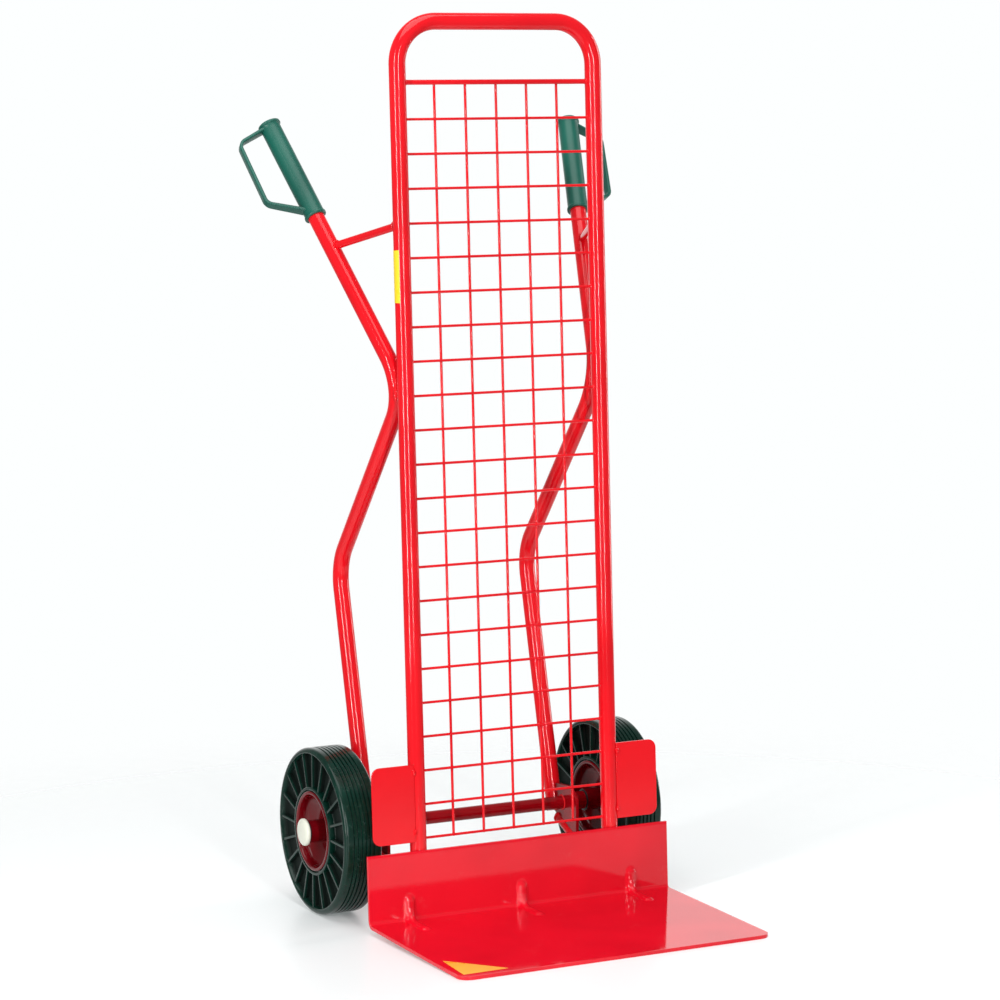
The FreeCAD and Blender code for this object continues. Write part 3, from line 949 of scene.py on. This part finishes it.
def half_section():
    """(offset, radius) in millimetres from the bore out to the middle of the crown."""
    out = [(25.6, 58.05), (25.6, 61.4), (28.4, 61.6), (29.2, 62.1), (29.4, 62.9),
           (29.4, 65.3), (28.8, 66.1), (27.4, 66.4), (20.8, 66.9), (19.9, 67.8), (19.9, 70.0),
           (19.9, 112.8), (20.4, 114.4), (21.8, 115.2), (28.4, 116.4), (29.5, 116.9),
           (30.0, 117.7), (30.0, 118.8)]
    for step in range(1, 9):
        a = math.radians(90 * step / 8)
        out.append((23.8 + 6.2 * math.cos(a), 118.8 + 6.2 * math.sin(a)))
    for i in range(TREAD_GROOVES // 2, 0, -1):
        c = (i - 0.5) * 6.4
        out += [(c + 1.35, TREAD_R), (c + 1.05, TREAD_R - 0.4), (c + 0.75, TREAD_R - 2.8),
                (c, TREAD_R - 3.1), (c - 0.75, TREAD_R - 2.8), (c - 1.05, TREAD_R - 0.4),
                (c - 1.35, TREAD_R)]
    return out


half = half_section()
WHOLE_SECTION = half + [(-m, r) for m, r in reversed(half)]
print("tyre section points", len(WHOLE_SECTION))

# %% Rib tree
def rib_tree():
    tree, given, result = new_tree(
        "ribs round a hub", Count="Int", Middle="Float", Size="Vector", Offset="Float",
        Material="Material")
    value = given.outputs
    ring = wire_up(tree, "GeometryNodeMeshCircle",
                   {"Vertices": value["Count"], "Radius": 1.0})
    box = wire_up(tree, "GeometryNodeMeshCube",
                  {"Size": value["Size"], "Vertices X": 3, "Vertices Y": 3,
                   "Vertices Z": 2})
    crown = wire_up(tree, "GeometryNodeInputPosition", {})
    parts = wire_up(tree, "ShaderNodeSeparateXYZ", {0: crown})
    from_ridge = reckon(tree, "ABSOLUTE", parts.outputs["Y"])
    shift = wire_up(tree, "ShaderNodeCombineXYZ",
                    {"X": reckon(tree, "MULTIPLY", from_ridge, -0.15)})
    shaped = wire_up(tree, "GeometryNodeSetPosition",
                     {"Geometry": box, "Offset": shift})
    out = wire_up(tree, "ShaderNodeCombineXYZ",
                  {"X": value["Offset"], "Z": value["Middle"]})
    moved = wire_up(tree, "GeometryNodeTransform",
                    {"Geometry": shaped, "Translation": out})
    index = wire_up(tree, "GeometryNodeInputIndex", {})
    share = reckon(tree, "DIVIDE", index, value["Count"])
    turn = wire_up(tree, "ShaderNodeCombineXYZ",
                   {"X": reckon(tree, "MULTIPLY", share, math.tau)})
    centre = wire_up(tree, "ShaderNodeCombineXYZ", {})
    still = wire_up(tree, "GeometryNodeSetPosition",
                    {"Geometry": ring, "Position": centre})
    set_out = wire_up(tree, "GeometryNodeInstanceOnPoints",
                      {"Points": still, "Instance": moved, "Rotation": turn})
    close_tree(tree, given, result, set_out)
    return tree


RIB_RING = rib_tree()

# %% Tyres
for name, side in SIDES.items():
    spot = STAND @ Matrix.Translation(AXLE_LINE + Vector((side * WHEEL_MID, 0, 0)))
    parts = [lathe_mm("round", WHOLE_SECTION, RUBBER, side, 144, WHEEL_MID)]
    for face in (-1, 1):
        parts.append(grow("ribs", RIB_RING, {
            "Count": RIBS, "Middle": 91.0 * MM, "Size": mm(9.4, 3.5, 51.4),
            "Offset": 23.9 * MM, "Material": RUBBER},
            spot @ Matrix.Diagonal((face, 1, 1, 1))))
    tyre = joined("solid_tyre_" + name, parts, RUBBER)
    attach(tyre, "wheel_" + name)
    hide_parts("tyre_" + name)
    print("tyre", name, len(tyre.data.polygons), "faces")

# %% [markdown]
# ## Hubs
# Two pressed dishes meet back to back in the middle of the wheel and hold a tube in which
# flanged bushes run on the axle. The dish shows a rolled lip, a short wall and a cone.

# %% Dishes, tube and bushes
DISH = [(0.02, 17.0), (2.0, 17.0), (2.05, 24.0), (2.2, 31.0), (3.0, 35.5), (4.8, 40.0),
        (8.0, 45.0), (11.6, 49.2), (14.6, 52.2), (17.6, 53.6), (21.0, 54.0), (26.2, 54.1),
        (28.4, 54.5), (29.6, 55.4), (29.95, 56.8), (29.8, 58.6), (29.2, 59.6),
        (28.2, 59.9), (27.7, 59.4), (27.4, 58.05), (17.0, 58.0), (13.4, 56.0),
        (9.8, 52.2), (6.4, 47.2), (3.2, 42.0), (1.2, 38.6), (0.02, 36.0)]
TUBE = [(195.5, 14.02), (195.5, 16.6), (195.9, 17.0), (272.1, 17.0), (272.5, 16.6),
        (272.5, 14.02)]
BUSH_FACE = [(0.0, 10.05), (0.0, 16.1), (0.3, 16.5), (1.2, 16.5), (1.2, 14.0),
             (23.2, 14.0), (23.2, 10.05)]


def hub_pieces(name, side):
    outer = lathe_mm("outer_dish_" + name, DISH, HUB_RED, side, 96, WHEEL_MID)
    spun = [(-m, r) for m, r in DISH]
    inner = lathe_mm("inner_dish_" + name, spun, HUB_RED, side, 96, WHEEL_MID)
    tube = lathe_mm("hub_tube_" + name, TUBE, HUB_RED, side, 64)
    low = lathe_mm("bush", [(194.3 + m, r) for m, r in BUSH_FACE], BUSH, side, 48)
    high = lathe_mm("bush", [(273.7 - m, r) for m, r in BUSH_FACE], BUSH, side, 48)
    bushes = joined("hub_bushes_" + name, [low, high], BUSH)
    return ((outer, "hub_outer_shell_", "red_hub"), (inner, "hub_inner_shell_", "red_hub"),
            (tube, "hub_sleeve_", "red_hub"), (bushes, "hub_bearings_", "bearing_nylon"))


for name, side in SIDES.items():
    for piece, node, finish in hub_pieces(name, side):
        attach(piece, "wheel_" + name)
        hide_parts(node + name)
print("hubs done")

# %% [markdown]
# ## Weld seams
# Where a bar or the axle ends on another piece, the joint is a ring of overlapping weld
# ripples under the paint. A tree walks a circle, keeps evenly spaced points and sets a
# flattened bead on each. The straight fillets have few beads, so a short loop makes them.

# %% Seam tree
def seam_tree():
    tree, given, result = new_tree(
        "weld seam", Ring="Float", Bead="Float", Step="Float", Seed="Int",
        Material="Material")
    value = given.outputs
    ring = wire_up(tree, "GeometryNodeCurvePrimitiveCircle", {"Radius": value["Ring"]},
                   {"mode": "RADIUS"})
    walk = wire_up(tree, "GeometryNodeCurveToPoints",
                   {"Curve": ring, "Length": value["Step"]},
                   {"mode": "LENGTH"})
    bead = wire_up(tree, "GeometryNodeMeshUVSphere",
                   {"Segments": 10, "Rings": 6, "Radius": value["Bead"]})
    size = wire_up(tree, "FunctionNodeRandomValue",
                   {"Min": (0.85, 0.95, 0.6), "Max": (1.15, 1.3, 0.85),
                    "Seed": value["Seed"]}, {"data_type": "FLOAT_VECTOR"})
    set_out = wire_up(tree, "GeometryNodeInstanceOnPoints",
                      {"Points": walk, "Instance": bead, "Scale": size})
    close_tree(tree, given, result, set_out)
    return tree


SEAM = seam_tree()
RIPPLE = 1.7 * MM


def seam(centre, along, ring, bead, seed):
    """A ring of beads round a bar that ends on another piece."""
    turn = Vector((0, 0, 1)).rotation_difference(along.normalized()).to_matrix().to_4x4()
    return grow("seam", SEAM, {"Ring": ring * MM, "Bead": bead * MM, "Step": RIPPLE,
                               "Seed": seed, "Material": RED},
                STAND @ Matrix.Translation(centre) @ turn)


# %% Seams of the frame
handle_seams = []
for side in SIDES.values():
    for ends, (from_foot, from_top), ring, bead, seeds in (
            ([BRACE_FOOT, brace_top], (13.2, 13.0), 6.6, 1.8, (3, 5)),
            (STAY, (14.2, 15.0), 7.6, 1.9, (7, 11))):
        foot, top = flip(ends, side)
        run = (top - foot).normalized()
        handle_seams.append(seam(foot + run * (from_foot * MM), run, ring, bead, seeds[0]))
        handle_seams.append(seam(top - run * (from_top * MM), run, ring, bead, seeds[1]))
    for k in (-1, 1):
        plane = AXLE_LINE + mm(side * 160 + k * 2.9, 0, 0)
        handle_seams.append(seam(plane, Vector((1, 0, 0)), 10.6, 1.7, 13 + k))


def bead_run(start, end, bead, seed):
    """A straight fillet of overlapping beads in the sheet of the back."""
    rng = random.Random(seed)
    count = max(2, int((end - start).length / RIPPLE))
    pieces = []
    for i in range(count + 1):
        spot = start.lerp(end, i / count)
        fade = 0.7 + 0.3 * min(1.0, min(i, count - i) / 3)
        data = bmesh.new()
        grown = bead * fade * rng.uniform(0.92, 1.08)
        bmesh.ops.create_uvsphere(data, u_segments=10, v_segments=6, radius=grown)
        bmesh.ops.translate(data, verts=data.verts, vec=spot)
        mesh = bpy.data.meshes.new("bead")
        data.to_mesh(mesh)
        data.free()
        mesh.transform(BACK)
        pieces.append(shown("bead", mesh))
    return pieces


for side in SIDES.values():
    for k in (-1, 1):
        x = side * (161.6 + k * 8.0)
        handle_seams += bead_run(mm(x, 12.6, 646), mm(x, 12.2, 674), 4.0 * MM, 21 + k)
seams = joined("handle_seams", handle_seams, RED)

guard_tacks = []
for side in SIDES.values():
    for s in (12.0, 100.0):
        x = side * 169.4
        guard_tacks += bead_run(mm(x, -11.2, s - 2), mm(x, -11.2, s + 2), 3.4 * MM, int(s))
    x = side * 169.0
    for s in (4.0, 92.0):
        guard_tacks += bead_run(mm(x, -6.6, s), mm(x, -6.6, s + 14), 2.6 * MM, int(s) + 1)
tacks = joined("guard_tacks", guard_tacks, RED)
for piece, node in ((seams, "handle_welds"), (tacks, "guard_welds")):
    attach(piece, "frame")
    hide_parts(node)
print("weld faces", len(seams.data.polygons) + len(tacks.data.polygons))

# %% [markdown]
# ## Plain labels
# A thin yellow film wraps the outside of one upright and an amber corner patch marks the
# toe plate. Both stay blank.

# %% Labels
FILM_FOOT = 786.0
FILM_TALL = 76.0
FILM_WRAP = 86.0


def wrapped_film():
    skin = TUBE_R + 0.3 * MM
    rings = []
    for i in range(25):
        s = (FILM_FOOT + FILM_TALL * i / 24) * MM
        ring = []
        for radius, order in ((skin, range(17)), (TUBE_R + 0.02 * MM, range(16, -1, -1))):
            for k in order:
                a = math.radians(FILM_WRAP * (k / 16 - 0.5))
                ring.append(Vector((-TRACK - radius * math.cos(a), radius * math.sin(a), s)))
        rings.append(ring)
    return from_faces("upright_film", *capped(rings), YELLOW, BACK)


film = wrapped_film()
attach(film, "frame")
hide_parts("upright_label")

patch_loop = round_corners([(-236, -64), (-240, -140), (-169, -139)], [1.2, 1.2, 1.2], 4)
lift = (STAND @ Matrix.Translation((0, 0, PLATE_T - 0.25 * MM))
        @ Matrix.Rotation(math.pi / 2, 4, "X"))
patch = plate("plate_patch", [(x * MM, -y * MM) for x, y in patch_loop], 0.3 * MM, AMBER,
              lift, 0.06 * MM)
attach(patch, "frame")
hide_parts("toe_plate_label")

# %% [markdown]
# ## Floor, light and camera
# The truck stands on a pale floor whose edges fade into a white backdrop. The studio
# shines in a cone behind the truck and is dim all round, so the gloss paint keeps its
# depth, and three tall strips draw the narrow streaks that run down the tubes. The
# camera sees the backdrop as plain white.

# %% Floor
FADE = (0.6, 1.7)
SOLID = 0.88


def stage_floor():
    g = Graph("pale_floor")
    drift = g.noise(1.3, 2.0)
    fine = g.noise(60.0, 3.0)
    tone = g.mix(drift, rgba(0.90, 0.93, 0.935), rgba(0.92, 0.94, 0.94))
    reach = g.node("ShaderNodeVectorMath", {"operation": "LENGTH"}, {0: g.place()}, 1)
    material = g.finish(Base_Color=tone, Roughness=0.30 + fine * 0.1,
                        Specular_IOR_Level=0.3, Emission_Color=rgba(0.80, 1.0, 1.0),
                        Emission_Strength=0.07, Alpha=SOLID - reach.over(*FADE) * SOLID)
    data = bpy.data.meshes.new("floor")
    data.from_pydata([(-3, -3, 0), (3, -3, 0), (3, 3, 0), (-3, 3, 0)], [], [[0, 1, 2, 3]])
    data.materials.append(material)
    return shown("floor", data)


stage_floor()


# %% Studio sky
BACKDROP = (0.452, 0.892, 0.0)
CONE = (0.62, 0.93)
ROOM_GLOW = 0.34
BACK_GLOW = 1.25


def studio():
    g = Graph("studio", bpy.data.worlds)
    aim = g.node("ShaderNodeTexCoord", {}, {}, "Generated")
    facing = g.node("ShaderNodeVectorMath", {"operation": "DOT_PRODUCT"},
                    {0: aim, 1: BACKDROP}, 1)
    light = ROOM_GLOW + facing.over(*CONE) * BACK_GLOW
    room = g.node("ShaderNodeBackground", {}, {"Strength": light})
    white = g.node("ShaderNodeBackground", {}, {"Color": rgba(0.982, 1.0, 1.0)})
    seen = g.node("ShaderNodeLightPath", {}, {}, "Is Camera Ray")
    both = g.node("ShaderNodeMixShader", {}, {0: seen, 1: room, 2: white})
    g.node("ShaderNodeOutputWorld", {}, {"Surface": both})
    return g.material


bpy.context.scene.world = studio()
bpy.context.scene.view_settings.view_transform = "Standard"
bpy.context.scene.view_settings.look = "None"


# %% Lights
def soft_light(name, spot, target, wide, tall, power):
    data = bpy.data.lights.new(name, "AREA")
    data.shape = "RECTANGLE"
    data.size = wide
    data.size_y = tall
    data.energy = power
    lamp = shown(name, data)
    lamp.location = spot
    aim = Vector(target) - Vector(spot)
    lamp.rotation_euler = aim.to_track_quat("-Z", "Y").to_euler()
    print(name, power, "W")


soft_light("front strip", (-0.76, -3.93, 1.28), (0, 0, 1.28), 0.13, 2.5, 78)
soft_light("left strip", (-2.75, -1.25, 1.25), (0, 0, 1.25), 0.15, 2.4, 60)
soft_light("right strip", (3.0, 0.1, 1.25), (0, 0, 1.25), 0.4, 2.4, 36)
soft_light("overhead", (-0.4, -0.5, 3.3), (0, 0.1, 0.2), 2.4, 2.4, 50)

# %% Camera
eye = bpy.data.cameras.new("eye")
eye.lens = 118.32
eye.sensor_width = 36.0
camera = shown("eye", eye)
camera.location = (-2.184, -4.27965, 1.1534)
camera.rotation_euler = [math.radians(a) for a in (83.686, 0.7911, -26.8691)]
bpy.context.scene.camera = camera
print("lens", eye.lens)
